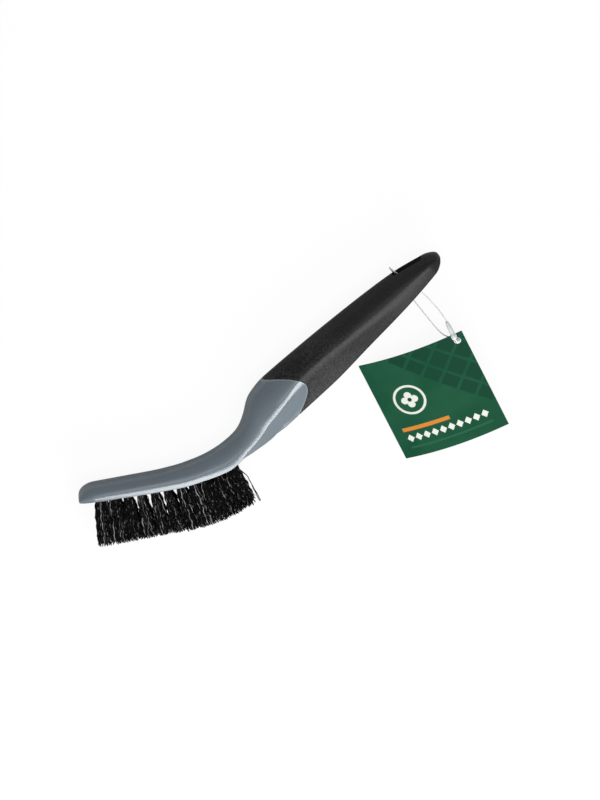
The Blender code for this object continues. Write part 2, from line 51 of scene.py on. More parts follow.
class Wire:
    # one socket of a node tree, or the bare tree to start from
    def __init__(self, tree, socket=None):
        self.tree = tree
        self.socket = socket

    # any node: its type, its settings, then the values or links of its sockets
    def node(self, kind, settings=None, values=None, output=0):
        made = self.tree.nodes.new(kind)
        for name, value in (settings or {}).items():
            setattr(made, name, value)
        for name, value in (values or {}).items():
            target = made.inputs[name]
            if isinstance(value, Wire):
                self.tree.links.new(value.socket, target)
            else:
                target.default_value = value
        return Wire(self.tree, made.outputs[output])

    # another output of the node that this one comes from
    def also(self, output):
        return Wire(self.tree, self.socket.node.outputs[output])

    def maths(self, operation, *others):
        return self.node("ShaderNodeMath", {"operation": operation},
                         dict(enumerate((self, *others))))

    def mathsAfter(self, other, operation):
        return self.node("ShaderNodeMath", {"operation": operation}, {0: other, 1: self})

    def __add__(self, other):
        return self.maths("ADD", other)

    def __radd__(self, other):
        return self.mathsAfter(other, "ADD")

    def __sub__(self, other):
        return self.maths("SUBTRACT", other)

    def __rsub__(self, other):
        return self.mathsAfter(other, "SUBTRACT")

    def __mul__(self, other):
        return self.maths("MULTIPLY", other)

    def __rmul__(self, other):
        return self.mathsAfter(other, "MULTIPLY")

    def __truediv__(self, other):
        return self.maths("DIVIDE", other)

    # 0 below the value, 1 above it, over a soft edge
    def above(self, value, edge):
        return self.node("ShaderNodeMapRange", {"interpolation_type": "SMOOTHSTEP"}, {
            "Value": self, "From Min": value - edge, "From Max": value + edge})

    # this mask's blend of two colours: the first where it is 0, the second where it is 1
    def blend(self, first, second):
        mixed = self.node("ShaderNodeMix", {"data_type": "RGBA"}, {0: self, 6: first, 7: second})
        return mixed.also(2)

    # this colour with another laid over it where the mask is 1
    def under(self, mask, other):
        return mask.blend(self, other)

    def noise(self, place, size, detail=2.0, roughness=0.5):
        return self.node("ShaderNodeTexNoise", None, {
            "Vector": place, "Scale": 1.0 / size, "Detail": detail, "Roughness": roughness})

    # a bump of this height for the Normal socket
    def bump(self, strength, depth):
        return self.node("ShaderNodeBump", None, {
            "Strength": strength, "Distance": depth, "Height": self})


def shaded(name, fixed, paint):
    # a Principled material: fixed socket values, and what paint() returns for the varying ones
    material = bpy.data.materials.new(name)
    material.use_nodes = True
    tree = material.node_tree
    shader = tree.nodes["Principled BSDF"]
    for socket, value in fixed.items():
        shader.inputs[socket].default_value = value
    for socket, wire in paint(Wire(tree)).items():
        tree.links.new(wire.socket, shader.inputs[socket])
    return material


def objectPlace(wire):
    return wire.node("ShaderNodeTexCoord", output="Object")


# meshes

def plainMesh(name, source, place=None, sharpAngle=32):
    # the source's evaluated mesh as a new object at the origin, its place in its mesh
    graph = bpy.context.evaluated_depsgraph_get()
    data = bpy.data.meshes.new_from_object(source.evaluated_get(graph))
    data.transform(place if place is not None else source.matrix_world)
    data.name = name
    made = bpy.data.objects.new(name, data)
    bpy.context.scene.collection.objects.link(made)
    data.shade_smooth()
    if sharpAngle:
        data.set_sharp_from_angle(angle=math.radians(sharpAngle))
    return made


def dress(piece, material):
    piece.data.materials.clear()
    piece.data.materials.append(material)


def meshOf(name, shape):
    bmesh.ops.recalc_face_normals(shape, faces=shape.faces)
    data = bpy.data.meshes.new(name)
    shape.to_mesh(data)
    shape.free()
    made = bpy.data.objects.new(name, data)
    bpy.context.scene.collection.objects.link(made)
    return made


def skin(shape, rings):
    rows = [[shape.verts.new(point) for point in ring] for ring in rings]
    for first, second in zip(rows, rows[1:]):
        for i in range(len(first)):
            j = (i + 1) % len(first)
            shape.faces.new((first[i], first[j], second[j], second[i]))
    shape.faces.new(rows[0][::-1])
    shape.faces.new(rows[-1])


def cut(target, operation, other):
    modifier = target.modifiers.new(other.name, "BOOLEAN")
    modifier.operation = operation
    modifier.solver = "EXACT"
    modifier.object = other


def drop(*objects):
    for old in objects:
        bpy.data.objects.remove(old, do_unlink=True)


def circle(radius, sides, height=0.0):
    return [Vector((radius * math.cos(2 * math.pi * i / sides),
                    radius * math.sin(2 * math.pi * i / sides), height)) for i in range(sides)]


# the brush's own form, drawn about its centre line

line = {
    "headStraight": 0.0497, "neckBendRadius": 0.0607, "neckTurn": math.radians(49),
    "shoulderBendRadius": 0.0358, "shoulderTurn": math.radians(16), "gripLength": 0.1182,
}
neckEnd = line["headStraight"] + line["neckBendRadius"] * line["neckTurn"]
shoulderEnd = neckEnd + line["shoulderBendRadius"] * line["shoulderTurn"]
gripEnd = shoulderEnd + line["gripLength"]
line["runs"] = (
    (line["headStraight"], 0.0),
    (line["neckBendRadius"] * line["neckTurn"], 1 / line["neckBendRadius"]),
    (line["shoulderBendRadius"] * line["shoulderTurn"], -1 / line["shoulderBendRadius"]),
    (line["gripLength"], 0.0),
)
field = {
    "columns": 11, "pitch": 0.00675, "first": 0.0108, "rowSpacing": 0.0056,
    "holeRadius": 0.00235, "holeDepth": 0.005, "holeSides": 28, "turn": math.radians(16),
    "firstLean": math.radians(-3.4), "reach": 0.0279, "heelReach": 0.0278,
}
faceEnd = field["first"] + (field["columns"] - 1) * field["pitch"]
form = {
    "faceDrop": 0.0045, "noseHeight": 0.0024, "noseRound": 0.009, "noseWidth": 0.008,
    "crestPower": 1.8, "endPower": 2.4, "endRound": 0.007,
    "creaseInset": 0.35, "flatInset": 0.3, "keelRound": 0.0010,
    # the most of the flank, the facet and the keel's flat that a rounding may take
    "flankCut": 0.9, "facetCut": 0.8, "keelCut": 0.2, "flatLeft": 0.3,
    # points round a section, and rings along the brush
    "crestSteps": 26, "flankSteps": 10, "creaseSteps": 8, "facetSteps": 12, "keelSteps": 6,
    "ringStep": 0.0010, "endRings": 16, "seamSteps": 64, "cornerSteps": 12,
    "tongueReach": 0.0252, "tongueLength": 0.018, "seamSpread": 0.0136, "seamCrest": 0.86,
    "sleeveWall": 0.0016, "slotLining": 0.0009,
    "slotLength": 0.0168, "slotWidth": 0.006, "slotCorner": 0.0022, "slotToEnd": 0.0068,
    "seamCut": 0.022, "slotCut": 0.025,  # how far the cutters reach to either side
}
slotMiddle = gripEnd - form["slotToEnd"] - form["slotLength"] / 2
seamTip = shoulderEnd + form["tongueReach"]
# place, half width, crest, keel, widest line, crease and its half width, half flat, hollow
form["rows"] = (
    (0.0, 0.0072, 0.0054, 0.0031, -0.0004, -0.0031, 0.0060, 0.0008, 0.0),
    (0.016, 0.0072, 0.0053, 0.0036, -0.0002, -0.0036, 0.0059, 0.0008, 0.0),
    (line["headStraight"] - 0.012, 0.0072, 0.0053, 0.0042, -0.0002, -0.0042, 0.0058, 0.0008, 0.0),
    (line["headStraight"] + 0.012, 0.0072, 0.0067, 0.0043, -0.0002, -0.0043, 0.0058, 0.0008, 0.0),
    (faceEnd - 0.0105, 0.0072, 0.0067, 0.0048, -0.0004, -0.0048, 0.0059, 0.0008, 0.0),
    (faceEnd, 0.0073, 0.0066, 0.0060, -0.0016, -0.0060, 0.0061, 0.0008, 0.0),
    (faceEnd + 0.012, 0.0076, 0.0064, 0.0085, -0.0014, -0.0047, 0.0066, 0.0012, 0.09),
    (neckEnd, 0.0088, 0.0080, 0.0118, -0.0008, -0.0048, 0.0078, 0.0012, 0.09),
    (shoulderEnd, 0.0102, 0.0127, 0.0133, -0.0004, -0.0038, 0.0092, 0.0010, 0.11),
    (shoulderEnd + 0.009, 0.0110, 0.0140, 0.0132, 0.0010, -0.0021, 0.0099, 0.0012, 0.07),
    (seamTip + 0.007, 0.0110, 0.0133, 0.0130, 0.0040, 0.0009, 0.0098, 0.0012, 0.02),
    (gripEnd - line["gripLength"] / 2,
     0.0105, 0.0120, 0.0110, 0.0033, 0.0003, 0.0096, 0.0020, 0.01),
    (slotMiddle - form["slotLength"] / 2,
     0.0089, 0.0090, 0.0077, 0.0018, -0.0009, 0.0081, 0.0041, 0.0),
    (gripEnd - form["endRound"], 0.0079, 0.0054, 0.0055, 0.0010, -0.0008, 0.0071, 0.0041, 0.0),
    (gripEnd, 0.0074, 0.0036, 0.0042, 0.0006, -0.0008, 0.0066, 0.0040, 0.0),
)
# place, how far the crease is rounded to either side, and how the flank bends down to it
form["creaseRows"] = (
    (0.0, 0.0002, 1.4), (faceEnd, 0.0003, 1.4), (neckEnd, 0.0010, 1.4),
    (shoulderEnd + 0.006, 0.0010, 1.2), (seamTip - 0.002, 0.0026, 1.2),
    (seamTip + 0.012, 0.0024, 1.2),
    (gripEnd - line["gripLength"] / 2, 0.0026, 1.4), (gripEnd, 0.0046, 1.4),
)


def centreLine(along):
    x = y = 0.0
    heading = line["shoulderTurn"] - line["neckTurn"]
    left = along
    for run, (length, curvature) in enumerate(line["runs"]):
        step = left if run == len(line["runs"]) - 1 else min(left, length)
        turned = heading + curvature * step
        if curvature:
            x += (math.sin(turned) - math.sin(heading)) / curvature
            y += (math.cos(heading) - math.cos(turned)) / curvature
        else:
            x += math.cos(heading) * step
            y += math.sin(heading) * step
        heading = turned
        left -= step
        if left <= 0.0:
            break
    return Vector((x, y, 0.0)), heading


def drawnPlane(along):
    point, heading = centreLine(along)
    return Matrix.Translation(point) @ Matrix.Rotation(heading, 4, "Z")


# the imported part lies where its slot's end wall is
seat = [Vector(m["pos_m"]) for m in frame["record"]["mounts"] if m["name"] == "hang_seat"][0]
toFrame = Matrix.Translation(seat - drawnPlane(gripEnd - form["slotToEnd"]).to_translation())


def sectionPlane(along):
    return toFrame @ drawnPlane(along)


def smoothRow(rows, place):
    # values at a place, on a smooth curve through the rows that never overshoots
    if place <= rows[0][0]:
        return rows[0][1:]
    if place >= rows[-1][0]:
        return rows[-1][1:]
    found = []
    for column in range(1, len(rows[0])):
        slopes = [(b[column] - a[column]) / (b[0] - a[0]) for a, b in zip(rows, rows[1:])]
        tangents = [0.0]
        for (a, b, c), before, after in zip(zip(rows, rows[1:], rows[2:]), slopes, slopes[1:]):
            near, far = b[0] - a[0], c[0] - b[0]
            level = before * after <= 0.0
            tangents.append(0.0 if level else 3 * (near + far) / (
                (2 * far + near) / before + (far + 2 * near) / after))
        tangents.append(0.0)
        for i, (a, b) in enumerate(zip(rows, rows[1:])):
            if a[0] <= place <= b[0]:
                span = b[0] - a[0]
                t = (place - a[0]) / span
                found.append(
                    a[column] * (1 + 2 * t) * (1 - t) ** 2 + b[column] * t * t * (3 - 2 * t)
                    + span * t * (1 - t) * ((1 - t) * tangents[i] - t * tangents[i + 1]))
                break
    return found


def section(along, inset=0.0):
    # one ring of points across the brush, from the crest down one side and up the other
    halfWidth, crest, keel, widest, crease, creaseHalf, flat, hollow = smoothRow(
        form["rows"], along)
    if along < form["noseRound"]:
        full = math.sqrt(1.0 - (1.0 - along / form["noseRound"]) ** 2)
        low = form["noseHeight"] - keel
        narrow = form["noseWidth"] / 2
        here = narrow + (halfWidth - narrow) * full
        crest = low + (crest - low) * full
        widest = (crease + low) / 2 + (widest - (crease + low) / 2) * full
        creaseHalf *= here / halfWidth
        flat *= here / halfWidth
        halfWidth = here
    # a wall's inner face keeps its distance from the crease and from the flat under it
    crease += inset * form["creaseInset"]
    flat -= inset * form["flatInset"]
    past = (along - (gripEnd - inset - form["endRound"])) / form["endRound"]
    share = (1.0 - past ** form["endPower"]) ** (1 / form["endPower"]) if past > 0.0 else 1.0
    halfWidth, creaseHalf, crest, keel = [
        (size - inset) * share for size in (halfWidth, creaseHalf, crest, keel)]
    widest, crease, flat = widest * share, crease * share, flat * share
    rounding, bend = smoothRow(form["creaseRows"], along)

    def flank(t):
        return Vector((widest - (widest - crease) * t,
                       halfWidth - (halfWidth - creaseHalf) * t ** bend))

    def facet(t):
        scoop = hollow * (crease + keel) * 4 * t * (1 - t)
        return Vector((crease - (crease + keel) * t, creaseHalf + (flat - creaseHalf) * t - scoop))

    def rounded(start, corner, end, t):
        return start * (1 - t) ** 2 + corner * 2 * t * (1 - t) + end * t * t

    half = []
    for i in range(form["crestSteps"]):
        angle = math.pi / 2 * (1 - i / form["crestSteps"])
        half.append((widest + (crest - widest) * math.sin(angle) ** (2 / form["crestPower"]),
                     halfWidth * math.cos(angle) ** (2 / form["crestPower"]) if i else 0.0))
    facetLength = (facet(1.0) - facet(0.0)).length
    flankCut = min(form["flankCut"], rounding * share / (flank(1.0) - flank(0.0)).length)
    facetCut = min(form["facetCut"], rounding * share / facetLength)
    keelCut = min(form["keelCut"], form["keelRound"] * share / facetLength)
    under = Vector((-keel, max(flat * form["flatLeft"], flat - form["keelRound"])))
    half += [flank((1.0 - flankCut) * i / form["flankSteps"]) for i in range(form["flankSteps"])]
    half += [rounded(flank(1.0 - flankCut), flank(1.0), facet(facetCut), i / form["creaseSteps"])
             for i in range(form["creaseSteps"])]
    half += [facet(facetCut + (1.0 - keelCut - facetCut) * i / form["facetSteps"])
             for i in range(form["facetSteps"])]
    half += [rounded(facet(1.0 - keelCut), facet(1.0), under, i / form["keelSteps"])
             for i in range(form["keelSteps"] + 1)]
    plane = sectionPlane(along)
    ring = half + [(up, -side) for up, side in half[:0:-1]]
    return [plane @ Vector((0.0, up, side)) for up, side in ring]


def ringPlaces(start, end, roundStart=False, roundEnd=False):
    first, last = start, end
    places = []
    rings = form["endRings"]
    if roundStart:
        first = start + form["noseRound"]
        places += [start + form["noseRound"] * (1 - math.cos(math.pi / 2 * i / rings))
                   for i in range(rings)]
    if roundEnd:
        last = end - form["endRound"]
    count = max(2, round((last - first) / form["ringStep"]))
    places += [first + (last - first) * i / count for i in range(count + 1)]
    if roundEnd:
        # the last ring stays just open
        places += [last + form["endRound"] * math.sin(math.pi / 2 * i / (rings + 0.5))
                   for i in range(1, rings + 1)]
    return places


def loft(name, places, inset=0.0):
    shape = bmesh.new()
    skin(shape, [section(place, inset) for place in places])
    return meshOf(name, shape)


def seamCutter(growth):
    # all that lies in front of the seam: a tongue that runs back between two bows
    plane = sectionPlane(seamTip)
    bow = form["tongueLength"] / form["seamSpread"] ** 2
    widest = form["seamSpread"] * 1.2
    outline = []
    for i in range(form["seamSteps"] + 1):
        up = -widest + 2 * widest * i / form["seamSteps"]
        here = bow * form["seamCrest"] if up > 0.0 else bow
        normal = Vector((1.0, 2 * here * up)).normalized()
        outline.append((-here * up * up + growth * normal.x, up + growth * normal.y))
    farUp, farBack = 2 * line["gripLength"], 4 * line["gripLength"]
    shoulder = -bow * widest * widest
    outline += [(shoulder * form["seamCrest"], farUp), (-farBack, farUp), (-farBack, -farUp),
                (shoulder, -farUp)]
    shape = bmesh.new()
    skin(shape, [[plane @ Vector((along, up, side)) for along, up in outline]
                 for side in (-form["seamCut"], form["seamCut"])])
    return meshOf("seamCutter", shape)


def slotCutter(growth):
    halfLength = form["slotLength"] / 2 + growth
    halfWidth = form["slotWidth"] / 2 + growth
    corner = form["slotCorner"] + growth
    outline = []
    for quarter, (xSide, zSide) in enumerate(((1, 1), (-1, 1), (-1, -1), (1, -1))):
        for i in range(form["cornerSteps"] + 1):
            angle = math.pi / 2 * (quarter + i / form["cornerSteps"])
            outline.append((xSide * (halfLength - corner) + corner * math.cos(angle),
                            zSide * (halfWidth - corner) + corner * math.sin(angle)))
    plane = sectionPlane(slotMiddle)
    shape = bmesh.new()
    skin(shape, [[plane @ Vector((along, up, side)) for along, side in outline]
                 for up in (-form["slotCut"], form["slotCut"])])
    return meshOf("slotCutter", shape)


def facePlace(distance):
    # the place on the centre line over a distance along the face
    if distance <= line["headStraight"]:
        return distance
    return line["headStraight"] + (distance - line["headStraight"]) / (
        1.0 + form["faceDrop"] / line["neckBendRadius"])


def tuftPlaces():
    # number, column, side, length and place of each tuft: Z points out of the face
    places = []
    bend = (line["headStraight"] - field["first"]) / field["pitch"]
    last = field["columns"] - 1
    for column in range(field["columns"]):
        along = facePlace(field["first"] + column * field["pitch"])
        drop = smoothRow(form["rows"], along)[2]
        turn = field["firstLean"] + field["turn"] * column / last
        lean = turn - (centreLine(along)[1] - centreLine(0.0)[1])
        heel = max(0.0, (column - bend) / (last - bend))
        length = field["reach"] + (field["heelReach"] - field["reach"]) * heel - drop
        for side in (1, -1):
            onFace = sectionPlane(along) @ Matrix.Translation(
                (0.0, -drop, side * field["rowSpacing"] / 2))
            out = onFace @ Matrix.Rotation(lean, 4, "Z") @ Matrix.Rotation(math.pi / 2, 4, "X")
            places.append((len(places) + 1, column, side, length, out))
    return places


# blue-grey plastic body

bodyPaint = {
    "colour": (0.143, 0.178, 0.204, 1.0), "shade": (0.117, 0.147, 0.170, 1.0),
    "patchSize": 0.035, "roughness": 0.19, "scuff": 0.08, "scuffSize": 0.004,
    "grainSize": 0.0011, "grainDepth": 0.00002, "grainStrength": 0.5,
    # rim: the colour of a painted highlight along the seam's edge
    "rim": (0.21, 0.26, 0.29, 1.0), "seamHighlightWidth": 0.0004, "seamHighlightEdge": 0.00015,
}


def paintBody(wire):
    place = objectPlace(wire)
    patches = wire.noise(place, bodyPaint["patchSize"], 3.0)
    scuffs = wire.noise(place, bodyPaint["scuffSize"], 5.0, 0.65)
    grain = wire.noise(place, bodyPaint["grainSize"], 2.0)
    colour = patches.blend(bodyPaint["colour"], bodyPaint["shade"])
    # a painted highlight: a pale rim along the grip's seam, where the moulding's edge would catch
    # the light, by the distance to the seam's curve
    split = wire.node("ShaderNodeSeparateXYZ", None, {"Vector": place})
    x, y = split.also("X"), split.also("Y")
    rows = sectionPlane(seamTip).inverted()
    along = x * rows[0][0] + y * rows[0][1] + rows[0][3]
    up = x * rows[1][0] + y * rows[1][1] + rows[1][3]
    bow = form["tongueLength"] / form["seamSpread"] ** 2
    slope = up * (2 * bow)
    crestSide = 1 + up.above(0.0, 0.0001) * (form["seamCrest"] - 1)
    inside = (along + up * up * bow * crestSide) * -1.0 / (slope * slope + 1.0).maths("SQRT")
    rim = 1 - inside.above(bodyPaint["seamHighlightWidth"], bodyPaint["seamHighlightEdge"])
    return {
        "Base Color": colour.under(rim, bodyPaint["rim"]),
        "Roughness": bodyPaint["roughness"] + (scuffs - 0.5) * bodyPaint["scuff"],
        "Normal": grain.bump(bodyPaint["grainStrength"], bodyPaint["grainDepth"]),
    }


headPlastic = shaded("headPlastic", {"IOR": 1.54}, paintBody)


def makeBody():
    inset = form["sleeveWall"] + gap
    outer = loft("outerForm", ringPlaces(0.0, seamTip + 0.004, roundStart=True))
    core = loft("coreForm", ringPlaces(shoulderEnd - 0.006, gripEnd - inset, roundEnd=True), inset)
    coreEye = slotCutter(form["slotLining"] + gap)
    seam = seamCutter(0.0)
    holes = bmesh.new()
    for _, _, _, _, place in tuftPlaces():
        skin(holes, [[place @ point
                      for point in circle(field["holeRadius"], field["holeSides"], height)]
                     for height in (-field["holeDepth"], field["holeDepth"])])
    drill = meshOf("holeDrill", holes)
    cut(core, "DIFFERENCE", coreEye)
    cut(outer, "INTERSECT", seam)
    cut(outer, "UNION", core)
    cut(outer, "DIFFERENCE", drill)
    body = plainMesh("bodyMoulding", outer)
    drop(outer, core, coreEye, seam, drill)
    dress(body, headPlastic)
    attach(body, "brush")
    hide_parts("brush_body")


makeBody()
print("body moulding done")


# soft grip

gripPaint = {
    # the pale specks are partly the rubber's grain and partly painted glints off it
    "colour": (0.0125, 0.0125, 0.0125, 1.0), "grainAndGlint": (0.044, 0.043, 0.044, 1.0),
    "patchSize": 0.02, "speckSize": 0.0008, "specks": 0.8, "speckFrom": 0.53, "speckEdge": 0.12,
    "roughness": 0.33, "roughnessRange": 0.2,
    "grainSize": 0.0006, "grainDepth": 0.00011, "grainStrength": 0.8,
    # behind the seam the grain and its painted glints give way to an even tone, part of the way to
    # the specks' colour
    "fadePlace": 0.028, "fadeEdge": 0.016, "fade": 0.7, "evenShade": 0.25,
}


def paintGrip(wire):
    place = objectPlace(wire)
    patches = wire.noise(place, gripPaint["patchSize"], 3.0)
    specks = wire.noise(place, gripPaint["speckSize"], 3.0, 0.6)
    cells = wire.node("ShaderNodeTexVoronoi", {"feature": "F1"}, {
        "Vector": place, "Scale": 1.0 / gripPaint["grainSize"], "Randomness": 1.0})
    fine = wire.noise(place, gripPaint["grainSize"] * 0.7, 2.0)
    # speck mask: the rubber's grain, partly painted glints
    shade = (patches * (1 - gripPaint["specks"]) + specks * gripPaint["specks"]).above(
        gripPaint["speckFrom"], gripPaint["speckEdge"])
    smooth = sectionPlane(seamTip + gripPaint["fadePlace"]).to_translation().x
    split = wire.node("ShaderNodeSeparateXYZ", None, {"Vector": place})
    fade = 1 - split.above(smooth, gripPaint["fadeEdge"]) * gripPaint["fade"]
    grainAndGlint = shade * fade + (1 - fade) * gripPaint["evenShade"]
    grain = cells * 0.7 + fine * 0.5
    return {
        "Base Color": grainAndGlint.blend(gripPaint["colour"], gripPaint["grainAndGlint"]),
        "Roughness": gripPaint["roughness"] + (specks - 0.5) * gripPaint["roughnessRange"],
        "Normal": grain.bump(fade * gripPaint["grainStrength"], gripPaint["grainDepth"]),
    }


gripRubber = shaded("gripRubber", {"IOR": 1.5, "Specular IOR Level": 0.1}, paintGrip)


def makeGrip():
    sleeve = loft("sleeveForm", ringPlaces(shoulderEnd - 0.008, gripEnd, roundEnd=True))
    wall = form["sleeveWall"]
    hollow = loft("hollowForm", ringPlaces(shoulderEnd - 0.014, gripEnd - wall, roundEnd=True),
                  wall)
    lining, seam, slot = slotCutter(form["slotLining"]), seamCutter(gap), slotCutter(0.0)
    cut(hollow, "DIFFERENCE", lining)
    cut(sleeve, "DIFFERENCE", hollow)
    cut(sleeve, "DIFFERENCE", seam)
    cut(sleeve, "DIFFERENCE", slot)
    grip = plainMesh("gripSleeve", sleeve)
    drop(sleeve, hollow, lining, seam, slot)
    dress(grip, gripRubber)
    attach(grip, "brush")
    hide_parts("soft_grip")


makeGrip()
print("soft grip done")


# bristles

bristlePaint = {
    # pale is the colour of the painted highlights and glints on the black strands
    "dark": (0.0010, 0.0010, 0.0012, 1.0), "pale": (0.34, 0.34, 0.36, 1.0),
    "roughness": 0.28, "roughnessRange": 0.16, "mottleSize": 0.0022,
    "paintedStrandsFrom": 0.91, "glintLength": 0.0024, "glintFrom": 0.65, "glint": 0.34,
}


def paintBristles(wire):
    strandRandom = wire.node("ShaderNodeAttribute", {"attribute_name": "strandRandom"}, output="Fac")
    reached = wire.node("ShaderNodeAttribute", {"attribute_name": "reached"}, output="Fac")
    mottle = wire.noise(objectPlace(wire), bristlePaint["mottleSize"], 2.0)
    # each strand's random value takes it to a row of the glint noise of its own
    dash = wire.node("ShaderNodeCombineXYZ", None, {
        "X": strandRandom * 97.0, "Y": reached / bristlePaint["glintLength"]})
    glints = wire.noise(dash, 1.0, 1.0)
    # painted highlights: a few pale strands as if lit along their length, and short painted glints
    # on the others
    paintedGlints = (strandRandom.above(bristlePaint["paintedStrandsFrom"], 0.01) * (mottle.above(0.47, 0.12) * 0.7 + 0.3)
                + glints.above(bristlePaint["glintFrom"], 0.05) * bristlePaint["glint"])
    return {
        "Base Color": paintedGlints.blend(bristlePaint["dark"], bristlePaint["pale"]),
        "Roughness": bristlePaint["roughness"] + mottle * bristlePaint["roughnessRange"],
    }


bristleNylon = shaded("bristleNylon", {"IOR": 1.53, "Specular IOR Level": 0.12}, paintBristles)

bristles = {
    "strands": 96, "radius": 0.00026, "sides": 3, "knots": 19,
    "rootRadius": 0.00178, "tipAlong": 0.0042, "tipAcross": 0.0036, "buried": 0.003,
    "trim": 0.0002, "trimChance": (-1.0, 0.6), "tipScatter": 0.0006,
    "crimp": 0.00036, "crimpChance": (0.6, 1.3), "wave": 0.0056, "waveChance": (-1.1, 1.1),
    "facingChance": (-0.9, 0.9), "drift": 0.7, "driftWave": 2.3, "settling": 4.0,
    # how fast a tuft opens by its column, and how much of that happens at the face
    "opening": 13.0, "slowOpenings": {2: 2.5, 3: 1.0, 4: 1.0, 5: 1.0, 6: 2.5}, "atFace": 0.62,
    "cornerPower": 5.0, "firstLean": -0.0008, "lastLean": -0.0003,
    "strays": 2, "stray": 0.0026, "strayReach": 0.4, "strayBow": 2.6, "strayCrimp": 0.3,
    "firstSeed": 11,
}


def bristleTree():
    # a bundle of crimped strands along Z, from inside the hole to the trimmed tips
    tree = bpy.data.node_groups.new("crimpedTuft", "GeometryNodeTree")
    face = tree.interface
    for name, kind in (("Strands", "Int"), ("Length", "Float"), ("Root Radius", "Float"),
                       ("Tip Along", "Float"), ("Tip Across", "Float"), ("Crimp", "Float"),
                       ("Wave", "Float"), ("Trim", "Float"), ("Buried", "Float"),
                       ("Strand Radius", "Float"), ("Lean", "Float"), ("Opening", "Float"),
                       ("Stray", "Float"), ("Seed", "Int"), ("Finish", "Material")):
        face.new_socket(name, in_out="INPUT", socket_type=f"NodeSocket{kind}")
    face.new_socket("Geometry", in_out="OUTPUT", socket_type="NodeSocketGeometry")
    start = Wire(tree)
    given = start.node("NodeGroupInput")

    def size(name):
        return given.also(name)

    def store(geometry, name, value, kind="FLOAT"):
        return start.node("GeometryNodeStoreNamedAttribute",
                          {"data_type": kind, "domain": "POINT"},
                          {"Geometry": geometry, "Name": name, "Value": value})

    # a random value for each strand
    def chance(limits, number):
        return start.node("FunctionNodeRandomValue", {"data_type": "FLOAT"}, {
            "Min": limits[0], "Max": limits[1], "ID": strand,
            "Seed": size("Seed") * 10 + number}, 1)

    # from the round root to the nearly square tips
    def spreading(tip, turned):
        root = size("Root Radius")
        return spread * turned * (root + (tip * square - root) * opening)

    roots = start.node("GeometryNodePoints", None, {"Count": size("Strands")})
    numbered = store(roots, "strand", start.node("GeometryNodeInputIndex"), "INT")
    straight = start.node("GeometryNodeCurvePrimitiveLine", None, {"End": (0.0, 0.0, 1.0)})
    fine = start.node("GeometryNodeResampleCurve", None, {
        "Curve": straight, "Count": bristles["knots"]})
    planted = start.node("GeometryNodeInstanceOnPoints", None, {
        "Points": numbered, "Instance": fine})
    strands = start.node("GeometryNodeRealizeInstances", None, {"Geometry": planted})
    strand = start.node("GeometryNodeInputNamedAttribute", {"data_type": "INT"},
                        {"Name": "strand"})
    reached = start.node("GeometryNodeSplineParameter")
    # strands spiral out by the golden angle, each tuft from a turn of its own
    goldenAngle = math.pi * (3 - math.sqrt(5))
    angle = strand * goldenAngle + size("Seed") * 1.7
    spread = ((strand + 0.5) / size("Strands")).maths("SQRT")
    # the tuft's last strands stand off from it where Stray isn't zero
    stray = strand.above(size("Strands") - (bristles["strays"] + 0.5), 0.1) * size("Stray")
    reach = (size("Length") + chance(bristles["trimChance"], 1) * size("Trim")
             + stray * bristles["strayReach"])
    height = reached * (reach + size("Buried")) - size("Buried")
    out = height.maths("MAXIMUM", 0.0) / size("Length")
    # bristles open fast where they leave the hole, then run nearly parallel
    opening = (bristles["atFace"] * (1 - (out * size("Opening") * -1).maths("EXPONENT"))
               + (1 - bristles["atFace"]) * out)
    cosine, sine = angle.maths("COSINE"), angle.maths("SINE")
    corner = (cosine.maths("ABSOLUTE").maths("POWER", bristles["cornerPower"])
              + sine.maths("ABSOLUTE").maths("POWER", bristles["cornerPower"]))
    square = corner.maths("POWER", -1 / bristles["cornerPower"])
    along = spreading(size("Tip Along"), cosine)
    across = spreading(size("Tip Across"), sine)
    ripple = height / size("Wave") * (2 * math.pi) + chance(bristles["waveChance"], 2)
    wander = height / size("Wave") * bristles["driftWave"] + chance((0.0, 6.3), 3)
    loose = stray.above(0.0001, 0.0001)
    settle = (out * bristles["settling"]).maths("MINIMUM", 1.0) * (
        1 - loose * (1 - bristles["strayCrimp"]))
    swing = ripple.maths("SINE") * size("Crimp") * settle * chance(bristles["crimpChance"], 6)
    drift = wander.maths("SINE") * size("Crimp") * settle * bristles["drift"]
    facing = chance(bristles["facingChance"], 4)
    edge = size("Root Radius") + (size("Tip Along") - size("Root Radius")) * opening
    bow = (out * bristles["strayBow"]).maths("MINIMUM", 1.0)
    along = along * (1 - loose) + loose * edge + stray * bow
    scatter = chance((-bristles["tipScatter"], bristles["tipScatter"]), 5)
    place = start.node("ShaderNodeCombineXYZ", None, {
        "X": along + swing * facing.maths("COSINE") + drift + size("Lean") * out
        + scatter * out * out,
        "Y": across + swing * facing.maths("SINE") - drift,
        "Z": height})
    bent = start.node("GeometryNodeSetPosition", None, {"Geometry": strands, "Position": place})
    # a random value for each strand, which picks the strands given painted highlights
    marked = store(store(bent, "strandRandom", chance((0.0, 1.0), 7)), "reached", height)
    ring = start.node("GeometryNodeCurvePrimitiveCircle", {"mode": "RADIUS"}, {
        "Resolution": bristles["sides"], "Radius": size("Strand Radius")})
    tubes = start.node("GeometryNodeCurveToMesh", None, {
        "Curve": marked, "Profile Curve": ring, "Fill Caps": True})
    real = start.node("GeometryNodeRealizeInstances", None, {"Geometry": tubes})
    finished = start.node("GeometryNodeSetMaterial", None, {
        "Geometry": real, "Material": size("Finish")})
    end = tree.nodes.new("NodeGroupOutput")
    tree.links.new(finished.socket, end.inputs["Geometry"])
    return tree


